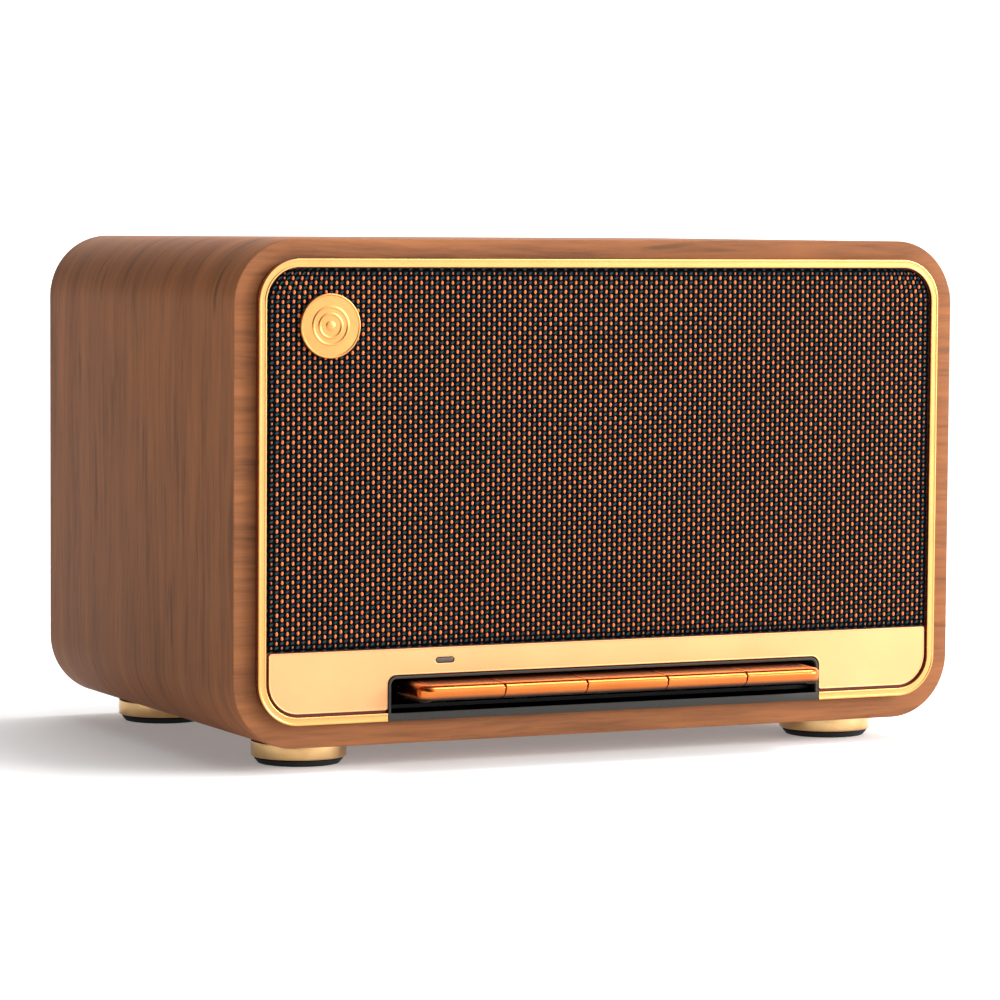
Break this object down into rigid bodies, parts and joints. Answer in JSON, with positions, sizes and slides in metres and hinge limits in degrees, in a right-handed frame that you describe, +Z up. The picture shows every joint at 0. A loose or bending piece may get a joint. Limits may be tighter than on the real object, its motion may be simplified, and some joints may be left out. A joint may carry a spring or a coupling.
{
  "type": "tabletop loudspeaker",
  "caption": "Retro tabletop loudspeaker: rounded wooden cabinet, woven grille in a gold ring, gold fascia with sprung piano keys and turned brass feet.",
  "frame": {"origin": "middle of the footprint of the whole object, on the surface the feet stand on", "axes": "front faces -Y, +X to the right seen from the front, +Z up"},
  "size_m": [0.27, 0.197, 0.1745],
  "materials": {
    "walnut_veneer": "satin lacquered walnut veneer",
    "gold_trim": "champagne gold anodised, satin",
    "key_copper": "bright copper plating",
    "brass": "turned, satin lacquered",
    "steel": "zinc plated",
    "black_plastic": "fine textured",
    "grey_plastic": "satin",
    "grille_fabric": "black weave with copper threads",
    "smoked_lens": "smoked",
    "rubber": "matt",
    "cone_paper": "pressed black pulp",
    "silk": "doped silk",
    "ferrite": "sintered, matt",
    "circuit_board": "solder resist",
    "aluminium": "extruded",
    "battery_wrap": "shrink sleeve"
  },
  "bodies": {
    "cabinet": {"amplifier_board": "circuit_board", "aux_socket": "black_plastic", "bass_port": "black_plastic", "battery_cradle": "black_plastic", "battery_pack": "battery_wrap", "cabinet_shell": "walnut_veneer", "fascia_plate": "gold_trim", "foot_bolt_front_left": "steel", "foot_bolt_front_right": "steel", "foot_bolt_rear_left": "steel", "foot_bolt_rear_right": "steel", "foot_pad_front_left": "rubber", "foot_pad_front_right": "rubber", "foot_pad_rear_left": "rubber", "foot_pad_rear_right": "rubber", "foot_ring_front_left": "brass", "foot_ring_front_right": "brass", "foot_ring_rear_left": "brass", "foot_ring_rear_right": "brass", "front_baffle": "black_plastic", "grille_badge": "gold_trim", "grille_cloth": "grille_fabric", "grille_frame": "black_plastic", "heatsink": "aluminium", "indicator_lens": "smoked_lens", "input_board": "circuit_board", "key_board": "circuit_board", "key_pivot_rod": "steel", "key_return_pad": "rubber", "key_tray": "grey_plastic", "rear_panel": "black_plastic", "rear_screw_lower_left": "steel", "rear_screw_lower_right": "steel", "rear_screw_upper_left": "steel", "rear_screw_upper_right": "steel", "trim_ring": "gold_trim", "tweeter_faceplate_left": "black_plastic", "tweeter_faceplate_right": "black_plastic", "tweeter_magnet_left": "ferrite", "tweeter_magnet_right": "ferrite", "usb_socket": "steel", "woofer_basket": "steel", "woofer_magnet": "ferrite", "woofer_surround": "rubber"},
    "source_key": {"source_key_cap": "key_copper", "source_key_lever": "black_plastic"},
    "volume_down_key": {"volume_down_key_cap": "key_copper", "volume_down_key_lever": "black_plastic"},
    "play_key": {"play_key_cap": "key_copper", "play_key_lever": "black_plastic"},
    "volume_up_key": {"volume_up_key_cap": "key_copper", "volume_up_key_lever": "black_plastic"},
    "power_key": {"power_key_cap": "key_copper", "power_key_lever": "black_plastic"},
    "woofer_diaphragm": {"woofer_cone": "cone_paper", "woofer_dust_cap": "cone_paper", "woofer_voice_coil": "key_copper"},
    "tweeter_diaphragm_left": {"tweeter_dome_left": "silk"},
    "tweeter_diaphragm_right": {"tweeter_dome_right": "silk"}
  },
  "joints": [
    {"name": "source_key_press", "type": "hinge", "parent": "cabinet", "child": "source_key", "pos_m": [-0.06052, -0.0665, 0.025], "axis": [1, 0, 0], "range_deg": [0, 3.6], "stiffness_Nm_per_rad": 0.3, "springref_deg": -2.86},
    {"name": "volume_down_key_press", "type": "hinge", "parent": "cabinet", "child": "volume_down_key", "pos_m": [-0.03026, -0.0665, 0.025], "axis": [1, 0, 0], "range_deg": [0, 3.6], "stiffness_Nm_per_rad": 0.3, "springref_deg": -2.86},
    {"name": "play_key_press", "type": "hinge", "parent": "cabinet", "child": "play_key", "pos_m": [0, -0.0665, 0.025], "axis": [1, 0, 0], "range_deg": [0, 3.6], "stiffness_Nm_per_rad": 0.3, "springref_deg": -2.86},
    {"name": "volume_up_key_press", "type": "hinge", "parent": "cabinet", "child": "volume_up_key", "pos_m": [0.03026, -0.0665, 0.025], "axis": [1, 0, 0], "range_deg": [0, 3.6], "stiffness_Nm_per_rad": 0.3, "springref_deg": -2.86},
    {"name": "power_key_press", "type": "hinge", "parent": "cabinet", "child": "power_key", "pos_m": [0.06052, -0.0665, 0.025], "axis": [1, 0, 0], "range_deg": [0, 3.6], "stiffness_Nm_per_rad": 0.3, "springref_deg": -2.86},
    {"name": "woofer_cone_travel", "type": "slide", "parent": "cabinet", "child": "woofer_diaphragm", "axis": [0, -1, 0], "range_m": [-0.003, 0.003], "stiffness_N_per_m": 1500},
    {"name": "tweeter_dome_travel_left", "type": "slide", "parent": "cabinet", "child": "tweeter_diaphragm_left", "axis": [0, -1, 0], "range_m": [-0.0003, 0.0003], "stiffness_N_per_m": 500},
    {"name": "tweeter_dome_travel_right", "type": "slide", "parent": "cabinet", "child": "tweeter_diaphragm_right", "axis": [0, -1, 0], "range_m": [-0.0003, 0.0003], "stiffness_N_per_m": 500}
  ]
}
